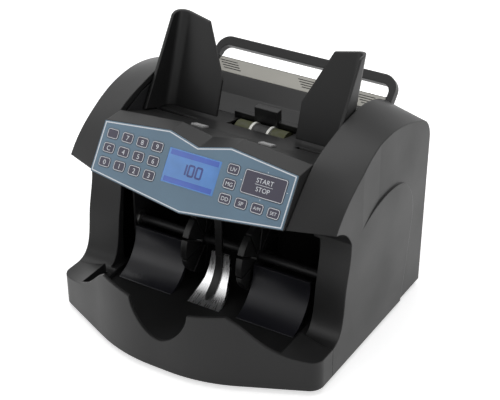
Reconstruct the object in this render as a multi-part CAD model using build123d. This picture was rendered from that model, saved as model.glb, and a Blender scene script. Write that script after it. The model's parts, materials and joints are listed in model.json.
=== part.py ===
from build123d import *
import os
from math import atan2, cos, degrees, radians, sin

# Banknote counting machine, in millimetres.
# The origin is on the floor under the middle of the machine. +X is to the user's right as the
# user faces the machine, +Y is to the rear, and +Z is up.

# Overall sizes
body_width = 270.0
arch_top = 206.9            # height of the cheeks' highest point
rear_foot_y = 108.5         # rear wall, at its foot
wall = 3.0                  # plastic shells
sheet = 2.0                 # steel side frames
seam = 0.3                  # gap between neighbouring shells
foot_height = 5.0
foot_radius = 9.0

# Cheeks: the two arched side covers
cheek_width = 37.6
arm_front_y = -66.0         # where the cheek's low arm meets the front tray
arm_top = 34.0
pillar_inset = 6.6          # the pillar stops short of the cheek's inner face
recess_depth = 1.5          # shallow recess above and behind the side crease

# Front tray
tray_corner_y = -90.0
tray_corner_radius = 14.0
tray_nose_half = 42.0       # half the flat part of the bowed front
tray_nose_radius = 150.0
deck_top = 28.0
shoulder_top = 31.5
tab_inner = 29.7
tab_outer = 62.9
tab_inner_height = 69.8
tab_outer_height = 75.2
scoop_bottom = 35.0
scoop_shoulder = (22.0, 50.0)

# Control panel
panel_tilt = 54.9
panel_foot_y = -86.6
panel_side_length = 45.7
panel_peak_half = 30.6
panel_peak_rise = 52.8
panel_notch_rise = 45.3
panel_chin = 12.3
membrane_thickness = 0.5
overlay_thickness = 1.5
lcd_width = 52.0
lcd_height = 30.0
lcd_centre_rise = 24.2
lcd_bezel = 1.7
key_width = 11.6
key_height = 8.8
key_corner = 2.4
key_gap = 0.3
key_travel = 0.4
key_pitch = 15.55
key_row_pitch = 12.7
key_first_column = 38.2
key_first_row = 10.6
start_key_width = 40.6
start_key_height = 20.4
start_key_centre = (69.6, 29.7)

# Hopper
hopper_front_y = -36.8
strip_half = 88.1
strip_rear_y = 118.0
feed_window_half = 30.0
guide_thickness = 2.5
guide_fold = 10.0
guide_lean = 19.0
guide_top_rise = 45.4       # above the cheeks
guide_slot_y = 15.0
guide_slot_width = 7.0
guide_travel = 35.0
rail_radius = 4.0

# Stacker bay
strap_half = 3.6
strap_thickness = 1.6
strap_length = 60.0
bracket_foot_half = 17.0
bracket_top_half = 9.0

# Rear cover and power entry
rear_cover_drop = 52.0      # its upper edge, below the cheeks' highest point
vent_count = 9
vent_pitch = 7.0
vent_width = 60.0
vent_height = 2.6
inlet_x = -55.0
inlet_z = 48.0
inlet_width = 27.4
inlet_height = 20.0
switch_x = -20.0
switch_width = 13.0
switch_height = 19.2

# Shafts, rollers and drive
shaft_radius = 4.0
running_clearance = 0.05
bearing_radius = 6.5
bearing_flange = 8.0
feed_y = 44.0
transport_y = 16.0
stacker_y = -14.0
stacker_z = 66.0
motor_y = 78.0
motor_z = 92.0
motor_radius = 18.0
motor_length = 58.0
feed_roller_radius = 12.0
transport_roller_radius = 14.0
stacker_wheel_radius = 33.0
stacker_wheel_x = 29.0
stacker_wheel_width = 6.0
pulley_radius = 9.0
pulley_width = 6.0
belt_thickness = 1.2

# Handle
handle_pivot_y = 98.0
handle_leg = 6.0
handle_grip = 9.0
handle_reach = 45.0
handle_thickness = 8.0
handle_pin_radius = 3.0
handle_angle = 46.0

# Worked out from the values above
half = body_width / 2
throat = half - cheek_width
inside = throat - seam
frame_in = throat + 0.5
frame_out = frame_in + sheet
feed_z = arch_top - 56.9
transport_z = arch_top - 90.9
handle_pivot_z = arch_top - 41.9
near_belt_x = frame_out + 4
far_belt_x = near_belt_x + pulley_width + 4
rear_face_y = rear_foot_y - 0.2
panel_foot_z = arch_top - 53.8
panel_half = throat - 1.0
handle_rear_y = (
    handle_pivot_y
    + handle_reach * cos(radians(handle_angle))
    + handle_thickness / 2 * sin(radians(handle_angle))
)
tray_front_y = -handle_rear_y
start_x, start_v = start_key_centre
panel_plane = Plane(
    origin=(0, panel_foot_y, panel_foot_z),
    x_dir=(1, 0, 0),
    z_dir=(0, -sin(radians(panel_tilt)), cos(radians(panel_tilt))),
)


def down(drop):
    """A height given as its drop below the cheeks' highest point."""
    return arch_top - drop


def block(x_start, x_end, y_start, y_end, z_start, z_end):
    centre = Pos((x_start + x_end) / 2, (y_start + y_end) / 2, (z_start + z_end) / 2)
    return centre * Box(x_end - x_start, y_end - y_start, z_end - z_start)


def outline(points):
    return make_face(Polyline(*points, close=True))


def prism_x(points, x_start, x_end):
    """An outline in (y, z), extruded along X."""
    return extrude(Plane.YZ.offset(x_start) * outline(points), amount=x_end - x_start)


def prism_y(points, y_start, y_end):
    """An outline in (x, z), extruded along Y."""
    return extrude(Plane.XZ.offset(-y_start) * outline(points), amount=y_start - y_end)


def rod_x(radius, x_start, x_end, y, z):
    """A round bar along X."""
    centre = Pos((x_start + x_end) / 2, y, z)
    return centre * Rot(0, 90, 0) * Cylinder(radius, x_end - x_start)


def both_sides(shape):
    return shape + mirror(shape, about=Plane.YZ)


def on_panel(sketch, depth_start, depth_end):
    """A sketch in the panel's own plane, between two depths behind its face."""
    return extrude(panel_plane.offset(-depth_end) * sketch, amount=depth_end - depth_start)


# Side covers

def cheek_section(x, pillar, chin, crown, heel):
    """One closed section of the cheek in the plane at x, from four runs of (y, z) points."""
    def at(point):
        return Vector(x, point[0], point[1])

    foot_rear = (rear_foot_y, foot_height)
    foot_front = (arm_front_y, foot_height)
    edges = [
        Line(at(foot_rear), at(foot_front)),
        Line(at(foot_front), at(pillar[0])),
        Spline(*[at(point) for point in pillar]),
        Spline(*[at(point) for point in chin]),
        Spline(*[at(point) for point in crown]),
        ThreePointArc(*[at(point) for point in heel]),
        Line(at(heel[-1]), at(foot_rear)),
    ]
    return Face(Wire(edges))


def cheek_body():
    outer = cheek_section(
        half,
        pillar=[(arm_front_y, arm_top), (-54, arm_top + 7), (-48.5, 55), (-45, 80),
                (-38, down(96.9)), (-37, down(82.9))],
        chin=[(-37, down(82.9)), (-43, down(72.9)), (-65, down(59.4))],
        crown=[(-65, down(59.4)), (-48, down(41.9)), (-22, down(25.9)), (0, down(16.4)),
               (40.5, down(12.4)), (61, down(15.9)), (97.7, down(28.1))],
        heel=[(97.7, down(28.1)), (109.5, down(37.0)), (rear_foot_y + 5.8, down(52.0))],
    )
    inner = cheek_section(
        throat,
        pillar=[(arm_front_y, shoulder_top), (-52, shoulder_top + 5), (-45, 50), (-41, 74),
                (-35, down(102.9)), (-34, down(84.9))],
        chin=[(-34, down(84.9)), (-44, down(72.9)), (-82, down(56.4))],
        crown=[(-82, down(56.4)), (-60, down(34.9)), (hopper_front_y, down(16.9)), (-4, down(6.1)),
               (31.5, down(0.0)), (59.9, down(1.5)), (92, down(13.9))],
        heel=[(92, down(13.9)), (107, down(26.9)), (rear_foot_y + 5.8, down(48.9))],
    )
    return loft([outer, inner], ruled=True)


def cheek_cavity():
    """The space inside the cheek, a wall's thickness in from its skin and open to the inside."""
    floor = foot_height + wall
    rear = rear_foot_y - wall - 0.3
    outer = [(rear, floor), (-40, floor), (-40, 60), (-33, down(98)), (-31, down(81)), (-56, down(59.5)),
             (-44, down(46)), (-20, down(31)), (1, down(21)), (40, down(17)), (60, down(20)),
             (95, down(32)), (105, down(40)), (rear + 5.3, down(53))]
    inner = [(rear, floor), (-36, floor), (-36, 60), (-30, down(103)), (-29, down(84)), (-73, down(57)),
             (-57, down(40)), (-35, down(22)), (-4, down(11)), (31, down(5)), (58, down(6.5)),
             (88, down(18)), (102, down(31)), (rear + 5.3, down(51))]
    faces = [
        Plane.YZ.offset(half - wall) * outline(outer),
        Plane.YZ.offset(throat - 1) * outline(inner),
    ]
    return loft(faces, ruled=True)


def side_recess():
    """The shallow recess above and behind the crease, fading out towards the front."""
    crease = [(-18, down(79.4)), (-1, down(71.9)), (23, down(67.3)), (46, down(67.9)), (62.5, down(73.3)),
              (82, down(100.9)), (83, down(116.9))]
    edges = [
        Spline(*crease),
        Polyline(crease[-1], (73, 35), (66, foot_height - 1), (130, foot_height - 1),
                 (130, arch_top), (-18, arch_top), crease[0]),
    ]
    side_view = extrude(Plane.YZ.offset(half - 5) * make_face(edges), amount=7)
    fade = [(half, -18), (half - recess_depth, 14), (half - recess_depth, 135), (half + 3, 135),
            (half + 3, -18)]
    return side_view & extrude(outline(fade), amount=arch_top + 10)


def side_cover():
    cheek = cheek_body() - cheek_cavity() - side_recess()
    pillar_cut = block(throat - 1, throat + pillar_inset, arm_front_y + 8, -27, shoulder_top + 1, down(88))
    return cheek - pillar_cut


# Front tray and base

def tray_front_plan():
    corners = [(half, arm_front_y - seam), (half, tray_corner_y), (tray_nose_half, tray_front_y),
               (-tray_nose_half, tray_front_y), (-half, tray_corner_y), (-half, arm_front_y - seam)]
    path = FilletPolyline(
        *corners,
        radius=[tray_corner_radius, tray_nose_radius, tray_nose_radius, tray_corner_radius],
    )
    return make_face([path, Line(corners[-1], corners[0])])


def tray_rear_plan():
    rear = rear_foot_y - wall - 0.5
    depth = rear - arm_front_y + seam + 5
    return Pos(0, rear - depth / 2) * Rectangle(2 * inside, depth)


def tray_edge_profile():
    """The front wall seen from the front: a scoop between two tabs, and slopes to the corners."""
    reach = half + 5
    shoulder_x, shoulder_z = scoop_shoulder
    slope = [(tab_outer, tab_outer_height), (tab_outer + 10, tab_outer_height - 8),
             (tab_outer + 29, arm_top + 15), (half - 15, arm_top + 2), (reach, arm_top)]
    edges = [
        Spline((-tab_inner, tab_inner_height), (-shoulder_x, shoulder_z), (0, scoop_bottom),
               (shoulder_x, shoulder_z), (tab_inner, tab_inner_height)),
        Line((tab_inner, tab_inner_height), slope[0]),
        Spline(*slope),
        Polyline(slope[-1], (reach, 0), (-reach, 0), (-reach, arm_top)),
        Spline(*[(-x, z) for x, z in slope]),
        Line((-tab_outer, tab_outer_height), (-tab_inner, tab_inner_height)),
    ]
    return make_face(edges)


def base_tray():
    front_plan = tray_front_plan()
    whole_plan = front_plan + tray_rear_plan()
    base = Pos(0, 0, foot_height)
    skirt = base * extrude(whole_plan, amount=deck_top - foot_height)
    front = base * extrude(front_plan, amount=tab_outer_height)
    edge = extrude(Plane.XZ.offset(100 - arm_front_y) * tray_edge_profile(), amount=-120, both=True)
    inner_plan = offset(front_plan, amount=-wall, kind=Kind.INTERSECTION)
    open_rear = inner_plan + Pos(0, arm_front_y - 5) * Rectangle(2 * (half - wall), 20)
    bay_half = throat + pillar_inset
    well = block(-bay_half, bay_half, -200, arm_front_y + 1, shoulder_top, 150)
    well = well & (Pos(0, 0, shoulder_top) * extrude(open_rear, amount=100))
    middle = block(-inside, inside, -200, arm_front_y + 1, deck_top, 150)
    trough = middle & (Pos(0, 0, deck_top) * extrude(open_rear, amount=100))
    hollow_plan = offset(whole_plan, amount=-wall, kind=Kind.INTERSECTION)
    hollow = extrude(hollow_plan, amount=deck_top - wall)
    tray = skirt + (front & edge) - well - trough - hollow
    for x, z in screw_places():
        tray -= Pos(x, rear_foot_y, z) * Rot(90, 0, 0) * Cylinder(1.6, 20)
    return tray


def bottom_plate():
    whole_plan = tray_front_plan() + tray_rear_plan()
    plate_plan = offset(whole_plan, amount=-wall - seam, kind=Kind.INTERSECTION)
    return Pos(0, 0, foot_height + 0.5) * extrude(plate_plan, amount=1.5)


def rubber_feet():
    feet = [
        Pos(side * (half - 17), y, foot_height / 2) * Cylinder(foot_radius, foot_height)
        for side in (-1, 1)
        for y in (-50, rear_foot_y - 20)
    ]
    return Compound(children=feet)


# Rear

def rear_cover():
    cover_top = down(rear_cover_drop)
    cover = block(-inside, inside, rear_face_y - wall, rear_face_y, foot_height, cover_top)
    cover -= Pos(inlet_x, rear_foot_y, inlet_z) * Box(inlet_width + 0.4, 20, inlet_height + 0.4)
    cover -= Pos(switch_x, rear_foot_y, inlet_z) * Box(switch_width + 0.4, 20, switch_height + 0.4)
    for index in range(vent_count):
        cover -= Pos(45, rear_foot_y, 60 + vent_pitch * index) * Box(vent_width, 20, vent_height)
    for x, z in screw_places():
        cover -= Pos(x, rear_foot_y, z) * Rot(90, 0, 0) * Cylinder(1.6, 20)
    return cover


def screw_places():
    return [(side * (inside - 8), z) for side in (-1, 1) for z in (14, down(62))]


def rear_screws():
    screws = []
    for x, z in screw_places():
        head = Pos(x, rear_face_y + 0.9, z) * Rot(90, 0, 0) * Cylinder(3.2, 1.8)
        shank = Pos(x, rear_face_y - 2.4, z) * Rot(90, 0, 0) * Cylinder(1.5, 4.8)
        screws.append(head + shank)
    return Compound(children=screws)


def power_inlet():
    face = rear_face_y
    flange = block(inlet_x - 15.5, inlet_x + 15.5, face, face + 2, inlet_z - 12, inlet_z + 12)
    barrel = block(inlet_x - inlet_width / 2, inlet_x + inlet_width / 2, face - 17, face,
                   inlet_z - inlet_height / 2, inlet_z + inlet_height / 2)
    socket = Pos(inlet_x, face - 6, inlet_z) * Box(23.6, 17, 15.6)
    pins = [
        Pos(inlet_x + offset_x, face - 9, inlet_z + offset_z) * Box(2.0, 11, 4.0)
        for offset_x, offset_z in ((-7, -2), (0, 3), (7, -2))
    ]
    inlet = flange + barrel - socket
    for pin in pins:
        inlet += pin
    return inlet


def switch_housing():
    face = rear_face_y
    shell = block(switch_x - switch_width / 2, switch_x + switch_width / 2, face - 14, face,
                  inlet_z - switch_height / 2, inlet_z + switch_height / 2)
    flange = block(switch_x - 7.7, switch_x + 7.7, face, face + 1.2, inlet_z - 10.8, inlet_z + 10.8)
    well = block(switch_x - 5, switch_x + 5, face - 8, face + 5, inlet_z - 8.5, inlet_z + 8.5)
    pivot = rod_x(1.2, switch_x - 5.5, switch_x + 5.5, face - 2, inlet_z)
    return shell + flange - well + pivot


def switch_rocker():
    """A rocker that turns about X on the pivot across its housing."""
    face = rear_face_y
    profile = [(face - 6, inlet_z - 3), (face - 2, inlet_z - 7.6), (face + 2.2, inlet_z - 7.4),
               (face + 0.8, inlet_z), (face + 2.2, inlet_z + 7.4), (face - 2, inlet_z + 7.6),
               (face - 6, inlet_z + 3)]
    rocker = prism_x(profile, switch_x - 4.6, switch_x + 4.6)
    return rocker - rod_x(1.2 + running_clearance, switch_x - 6, switch_x + 6, face - 2, inlet_z)


# Control panel

def panel_outline(inset):
    """The panel's outline, drawn in from its edge by the inset."""
    side = panel_half - inset
    corners = [(-side, inset), (0, inset - panel_chin), (side, inset), (side, panel_side_length - inset),
               (panel_peak_half, panel_peak_rise - inset), (0, panel_notch_rise - inset),
               (-panel_peak_half, panel_peak_rise - inset), (-side, panel_side_length - inset)]
    return outline(corners)


def lcd_opening(margin):
    return Pos(0, lcd_centre_rise) * Rectangle(lcd_width + 2 * margin, lcd_height + 2 * margin)


def panel_housing():
    stack = membrane_thickness + overlay_thickness
    body = extrude(panel_plane.offset(-stack) * panel_outline(-0.6), amount=70, dir=(0, 1, 0))
    keep = block(-half, half, -200, hopper_front_y - seam, 0, 400)
    cavity = extrude(panel_plane.offset(-stack - wall) * panel_outline(wall), amount=70, dir=(0, 1, 0))
    window = on_panel(lcd_opening(lcd_bezel + seam), 0, 12)
    return (body & keep) - cavity - window


def key_places():
    """Name, centre and size of every key, in the panel's plane."""
    places = []
    for row in range(3):
        for column in range(4):
            x = -key_first_column - key_pitch * (3 - column)
            v = key_first_row + key_row_pitch * (2 - row)
            places.append((f"number_key_{row + 1}{column + 1}", x, v, key_width, key_height))
    for row in range(3):
        v = key_first_row + key_row_pitch * (2 - row)
        places.append((f"function_key_{row + 1}", key_first_column, v, key_width, key_height))
    for column in range(1, 4):
        x = key_first_column + key_pitch * column
        places.append((f"function_key_{3 + column}", x, key_first_row, key_width, key_height))
    places.append(("start_stop_key", start_x, start_v, start_key_width, start_key_height))
    return places


def key_face(x, v, width, height, grow=0.0):
    return Pos(x, v) * RectangleRounded(width + 2 * grow, height + 2 * grow, key_corner + grow)


def panel_overlay():
    face = panel_outline(0) - lcd_opening(0.15)
    for _, x, v, width, height in key_places():
        face -= key_face(x, v, width, height, key_gap)
    return on_panel(face, 0, overlay_thickness)


def key_membrane():
    stack = membrane_thickness + overlay_thickness
    return on_panel(panel_outline(0) - lcd_opening(lcd_bezel + seam), overlay_thickness, stack)


def key(x, v, width, height):
    return on_panel(key_face(x, v, width, height), -0.3, overlay_thickness - key_travel - 0.05)


def lcd_window():
    return on_panel(lcd_opening(0), 0.1, overlay_thickness - 0.1)


def lcd_module():
    return on_panel(lcd_opening(lcd_bezel), overlay_thickness, 10.0)


def control_board():
    board = Pos(0, lcd_centre_rise + 1) * Rectangle(2 * panel_half - 30, 31)
    return on_panel(board, 10.0, 11.6)


# Hopper

def deck_line():
    """The hopper floor's upper side, in (y, z), from front to rear."""
    return [(hopper_front_y, down(18.4)), (0, down(33.4)), (36, down(44.4)), (58, down(48.9))]


def deck_height(y):
    for (y_start, z_start), (y_end, z_end) in zip(deck_line(), deck_line()[1:]):
        if y <= y_end:
            return z_start + (z_end - z_start) * (y - y_start) / (y_end - y_start)
    return deck_line()[-1][1]


def hopper_deck():
    """The sloping floor of the hopper, with the feed window and the two guide slots."""
    top = deck_line()
    under = [(y, z - guide_thickness) for y, z in reversed(top)]
    deck = prism_x(top + under, -inside, inside)
    deck -= block(-feed_window_half, feed_window_half, feed_y - 14, 57, 0, 400)
    slot_out = inside + 1
    slot_in = inside - guide_travel - 10
    slot = block(slot_in, slot_out, guide_slot_y - guide_slot_width / 2, guide_slot_y + guide_slot_width / 2,
                 0, 400)
    return deck - both_sides(slot)


def hopper_back_plate():
    lower = [(58.3, down(48.9)), (84, down(44.0)), (84, down(46.5)), (58.3, down(51.4))]
    upper = [(84, down(44.0)), (100, down(31.0)), (100, down(34.0)), (84, down(46.5))]
    return prism_x(lower, -inside, inside) + prism_x(upper, -strip_half, strip_half)


def rear_top_strip():
    profile = [(100.3, down(31.0)), (strip_rear_y - 3, down(23.4)), (strip_rear_y, down(24.8)),
               (strip_rear_y, down(34.0)), (strip_rear_y - 2.5, down(34.0)),
               (strip_rear_y - 2.5, down(27.6)), (100.3, down(34.0))]
    return prism_x(profile, -strip_half, strip_half)


def strip_support():
    """The channel that carries the strip on the rear cover."""
    top = down(36.0)
    post = block(-strip_half, strip_half, 101, 103, down(80), top)
    shelf = block(-strip_half, strip_half, 101, strip_rear_y - 4, top - 2, top)
    rib = block(-strip_half, strip_half, 103, rear_foot_y - wall - 0.5, down(80), down(78))
    return post + shelf + rib


def feed_gate():
    front, rear = feed_y + 8.5, 57.5
    base_z = down(46.6)
    reach = feed_window_half + 5
    bar = block(-reach, reach, front, rear, base_z, base_z + 5)
    crest = block(-12, 12, feed_y + 6, rear, base_z + 2, base_z + 16)
    foot_profile = [(front, deck_height(front)), (rear, deck_height(rear)), (rear, base_z + 1),
                    (front, base_z + 1)]
    foot = prism_x(foot_profile, feed_window_half + 0.5, reach)
    return bar + crest + both_sides(foot)


def hopper_sensors():
    """Two small sensor caps that stand in the front slope of the hopper."""
    y = -6.0
    thickness = 1.6
    slope = degrees(atan2(deck_height(y) - deck_height(y + 1), 1))
    lift = (thickness / 2 + 0.05) / cos(radians(slope))
    cap = Pos(34.7, y, deck_height(y) + lift) * Rot(-slope, 0, 0) * Box(13, 9, thickness)
    return pair(cap)


def note_guide():
    """The right-hand guide: an angle plate that leans back, with a carriage on the rail."""
    outer_x = inside - 0.5
    lean = radians(guide_lean)
    top_z = arch_top + guide_top_rise
    section = FilletPolyline(
        (outer_x - guide_thickness / 2, -60), (outer_x - guide_thickness / 2, 0), (30, 0),
        radius=guide_fold,
    )
    strip_face = trace(section, line_width=guide_thickness)
    height = 110.0
    plate = extrude(strip_face, amount=height, dir=(0, sin(lean), cos(lean)))
    plate = Pos(0, 62 - height * sin(lean), top_z - height * cos(lean)) * plate
    side_view = [(-4, down(30.4)), (46, top_z - 2), (70, top_z + 6), (70, down(41.0)), (36, down(41.0)),
                 (14, down(36.6))]
    front_view = [(outer_x + 5, down(50)), (41.4 - 97.4 + throat, down(50)), (41.4 - 97.4 + throat, down(8)),
                  (63.8 - 97.4 + throat, top_z - 7.3), (outer_x + 5, top_z + 0.3)]
    plate = plate & prism_x(side_view, 0, half) & prism_y(front_view, -100, 200)
    rail_z = rail_height()
    stem_x = (outer_x - guide_thickness, outer_x)
    stem = block(*stem_x, guide_slot_y - 2.5, guide_slot_y + 2.5, rail_z, down(33.0))
    carriage = block(outer_x - 12, outer_x, guide_slot_y - 8, guide_slot_y + 8, rail_z - 7, rail_z + 7)
    bore = rod_x(rail_radius + running_clearance, 0, half, guide_slot_y, rail_z)
    return plate + ((stem + carriage) - bore)


def rail_height():
    return down(56.0)


def guide_rail():
    return rod_x(rail_radius, -frame_out, frame_out, guide_slot_y, rail_height())


# Frames, shafts and drive

def shaft_places():
    return [(feed_y, feed_z), (transport_y, transport_z), (stacker_y, stacker_z)]


def frame_plate():
    """The right-hand steel side frame, with the bearing holes and the handle's pivot stud."""
    floor = foot_height + wall
    points = [(rear_foot_y - 5, floor), (-24, floor), (-24, down(103)), (-26, down(80)), (-45, down(62)),
              (-50, down(41)), (-32, down(25)), (-4, down(14)), (30, down(8)), (56, down(9.5)),
              (85, down(21)), (99, down(34)), (rear_foot_y - 1, down(54))]
    plate = prism_x(points, frame_in, frame_out)
    for y, z in shaft_places():
        plate -= rod_x(bearing_radius + 0.05, 0, half, y, z)
    plate -= rod_x(rail_radius, 0, half, guide_slot_y, rail_height())
    plate -= rod_x(shaft_radius + 1, 0, half, motor_y, motor_z)
    return plate + rod_x(handle_pin_radius, throat - 9, frame_out + 1, handle_pivot_y, handle_pivot_z)


def shaft_bearings():
    bushes = []
    for side in (-1, 1):
        for y, z in shaft_places():
            bush = rod_x(bearing_radius, frame_in - 1, frame_out + 0.5, y, z)
            bush += rod_x(bearing_flange, frame_in - 2, frame_in, y, z)
            bush -= rod_x(shaft_radius + running_clearance, 0, half, y, z)
            bushes.append(bush if side > 0 else mirror(bush, about=Plane.YZ))
    return Compound(children=bushes)


def pulley(start, y, z):
    rim = rod_x(pulley_radius, start, start + pulley_width, y, z)
    flange = rod_x(pulley_radius + 2, start - 1, start, y, z)
    return rim + flange - rod_x(shaft_radius, 0, half, y, z)


def shaft(y, z, reach):
    return rod_x(shaft_radius, -frame_out - 2, reach, y, z)


def roller(radius, x_start, x_end, y, z, core):
    return rod_x(radius, x_start, x_end, y, z) - rod_x(core, x_start - 1, x_end + 1, y, z)


def stacker_wheel(x):
    """A disc whose rim is cut into curved fingers that catch the notes."""
    plan = Circle(stacker_wheel_radius) - Circle(shaft_radius)
    for index in range(10):
        slot = Pos(20, 12) * Rot(0, 0, 24) * Rectangle(34, 2.4)
        plan -= Rot(0, 0, 36 * index) * slot
    disc = extrude(plan, amount=stacker_wheel_width / 2, both=True)
    return Pos(x, stacker_y, stacker_z) * Rot(0, 90, 0) * disc


def belt(x_start, first, second):
    """A flat belt round two equal pulleys at (y, z) centres."""
    def loop(radius):
        rims = [Pos(*centre) * Circle(radius) for centre in (first, second)]
        return make_hull(rims[0].edges() + rims[1].edges())

    inner = pulley_radius + seam
    band = loop(inner + belt_thickness) - loop(inner)
    return extrude(Plane.YZ.offset(x_start + 0.5) * band, amount=pulley_width - 1)


def main_motor():
    face = frame_in
    can = rod_x(motor_radius, face - motor_length, face, motor_y, motor_z)
    boss = rod_x(7, face - motor_length - 4, face - motor_length, motor_y, motor_z)
    return can + boss - rod_x(shaft_radius + running_clearance, 0, half, motor_y, motor_z)


# Stacker bay

def receiving_arc(lift=0.0):
    """Three points, in (y, z), of the arc that the notes slide down, lifted off it by a distance."""
    points = [(-62.0, deck_top), (-40.0, deck_top + 13), (-31.0, deck_top + 39)]
    arc = ThreePointArc(*points)
    centre = arc.arc_center
    shrink = 1 - lift / arc.radius
    return [(centre.X + (y - centre.X) * shrink, centre.Y + (z - centre.Y) * shrink) for y, z in points]


def receiving_section(thickness):
    """The arc that the notes slide down onto, given a thickness behind it."""
    low, middle, high = receiving_arc()
    face_edges = [
        ThreePointArc(low, middle, high),
        Line(high, (high[0] + thickness, high[1])),
        ThreePointArc((high[0] + thickness, high[1]), (middle[0] + thickness, middle[1] - thickness),
                      (low[0] + 6, low[1])),
        Line((low[0] + 6, low[1]), low),
    ]
    return make_face(face_edges)


def stacker_plate():
    inner_x = stacker_wheel_x + stacker_wheel_width / 2 + 3
    return extrude(Plane.YZ.offset(inner_x) * receiving_section(3), amount=inside - 4 - inner_x)


def centre_bracket():
    """The tapered metal bracket between the two stacker wheels."""
    strip_shape = extrude(Plane.YZ.offset(-19) * receiving_section(2.5), amount=38)
    waist_half = bracket_top_half + 3
    front_view = [(-bracket_foot_half, deck_top), (-waist_half, deck_top + 14),
                  (-bracket_top_half, deck_top + 42), (bracket_top_half, deck_top + 42),
                  (waist_half, deck_top + 14), (bracket_foot_half, deck_top)]
    return strip_shape & prism_y(front_view, -100, 0)


def bracket_strap():
    """A plain black strap that lies along the bracket's front and hangs from the crossbar."""
    rear = receiving_arc(seam)
    front = receiving_arc(seam + strap_thickness)
    section = make_face([
        ThreePointArc(*rear),
        Line(rear[-1], front[-1]),
        ThreePointArc(*front),
        Line(front[0], rear[0]),
    ])
    strap = extrude(Plane.YZ.offset(-strap_half) * section, amount=2 * strap_half)
    rounded = RectangleRounded(2 * strap_half, strap_length, strap_half - 0.1)
    front_view = Pos(0, deck_top + 3.5 + strap_length / 2) * rounded
    strap = strap & extrude(Plane.XZ * front_view, amount=100)
    post = block(-strap_half, strap_half, -33.6, -31.3, deck_top + 38, down(80))
    return strap + post + block(-strap_half, strap_half, -33.6, -24, down(80), down(78))


def bay_back_wall():
    y = 46.0
    wall_plate = block(-inside, inside, y, y + 2.5, deck_top, down(78))
    lip = block(-inside, inside, transport_y + 22, y, down(80), down(78))
    return wall_plate + lip


def bay_crossbar():
    """The bar across the bay, behind the housing, that carries the strap."""
    return block(-frame_in, frame_in, -24, -12, down(84), down(78))


# Electronics

def main_board():
    board = block(-inside + 6, 12, 56, 100, deck_top + 6, deck_top + 7.6)
    for x in (-inside + 12, 6):
        for y in (60, 96):
            board += Pos(x, y, deck_top + 3) * Cylinder(3, 6)
    return board


def power_supply():
    return block(22, inside - 8, 56, 100, deck_top, deck_top + 30)


# Handle

def carry_handle():
    arm = radians(handle_angle)
    plane = Plane(
        origin=(0, handle_pivot_y, handle_pivot_z),
        x_dir=(1, 0, 0),
        z_dir=(0, -sin(arm), cos(arm)),
    )
    outer_half = throat - 1.6
    inner_half = outer_half - handle_leg
    tail = 7.0
    full = Pos(0, (handle_reach - tail) / 2) * Rectangle(2 * outer_half, handle_reach + tail)
    full = fillet(full.vertices().group_by(Axis.Y)[-1], radius=14)
    gap_length = handle_reach - handle_grip + tail
    gap = Pos(0, (handle_reach - handle_grip - tail) / 2 - 2) * Rectangle(2 * inner_half, gap_length + 4)
    gap = fillet(gap.vertices().group_by(Axis.Y)[-1], radius=8)
    bar = extrude(plane * (full - gap), amount=handle_thickness / 2, both=True)
    return bar - rod_x(handle_pin_radius + running_clearance, -half, half, handle_pivot_y, handle_pivot_z)


def pair(right_shape):
    """A right-hand piece and its mirror image, as two solids."""
    return Compound(children=[right_shape, mirror(right_shape, about=Plane.YZ)])


def save(name, shape):
    export_step(shape, f"parts/{name}.step")


def save_pair(name, right_shape):
    """Writes a right-hand piece and its mirror image."""
    save(f"right_{name}", right_shape)
    save(f"left_{name}", mirror(right_shape, about=Plane.YZ))


os.makedirs("parts", exist_ok=True)

save_pair("side_cover", side_cover())
save("base_tray", base_tray())
save("bottom_plate", bottom_plate())
save("rubber_feet", rubber_feet())
save("rear_cover", rear_cover())
save("rear_screws", rear_screws())
save("power_entry", Compound(children=[power_inlet(), switch_housing()]))
save("switch_rocker", switch_rocker())

save("panel_housing", panel_housing())
save("panel_overlay", panel_overlay())
save("key_membrane", key_membrane())
save("lcd_window", lcd_window())
save("lcd_module", lcd_module())
for key_name, key_x, key_v, key_w, key_h in key_places():
    save(key_name, key(key_x, key_v, key_w, key_h))

save("hopper_deck", hopper_deck())
save("hopper_back_plate", hopper_back_plate())
save("rear_top_strip", rear_top_strip() + strip_support())
save("feed_gate", feed_gate())
save("hopper_sensors", hopper_sensors())
save_pair("note_guide", note_guide())
save("guide_rail", guide_rail())

save("frame_plates", pair(frame_plate()))
save("shaft_bearings", shaft_bearings())
save("feed_shaft", shaft(feed_y, feed_z, near_belt_x + pulley_width) + pulley(near_belt_x, feed_y, feed_z))
save("feed_tyre", roller(feed_roller_radius, -7.5, 7.5, feed_y, feed_z, shaft_radius))
save("feed_discs", both_sides(roller(feed_roller_radius + 1, 7.7, 10.2, feed_y, feed_z, shaft_radius)))
save("pickup_rollers", both_sides(roller(feed_roller_radius, 11, 26, feed_y, feed_z, shaft_radius)))
save(
    "transport_shaft",
    shaft(transport_y, transport_z, far_belt_x + pulley_width)
    + pulley(near_belt_x, transport_y, transport_z)
    + pulley(far_belt_x, transport_y, transport_z),
)
transport_tyre = roller(transport_roller_radius, 20, 45, transport_y, transport_z, shaft_radius)
save("transport_tyres", both_sides(transport_tyre))
save(
    "stacker_shaft",
    shaft(stacker_y, stacker_z, far_belt_x + pulley_width) + pulley(far_belt_x, stacker_y, stacker_z),
)
save("stacker_wheels", pair(stacker_wheel(stacker_wheel_x)))
upper_belt = belt(near_belt_x, (feed_y, feed_z), (transport_y, transport_z))
lower_belt = belt(far_belt_x, (transport_y, transport_z), (stacker_y, stacker_z))
save("drive_belts", Compound(children=[upper_belt, lower_belt]))
save("main_motor", main_motor())

save("stacker_plates", pair(stacker_plate()))
save("centre_bracket", centre_bracket())
save("bracket_strap", bracket_strap() + bay_crossbar())
save("bay_back_wall", bay_back_wall())
save("circuit_boards", Compound(children=[main_board(), control_board()]))
save("power_supply", power_supply())

save("carry_handle", carry_handle())
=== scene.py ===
import bpy
import json
import math
from mathutils import Matrix, Vector


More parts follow.
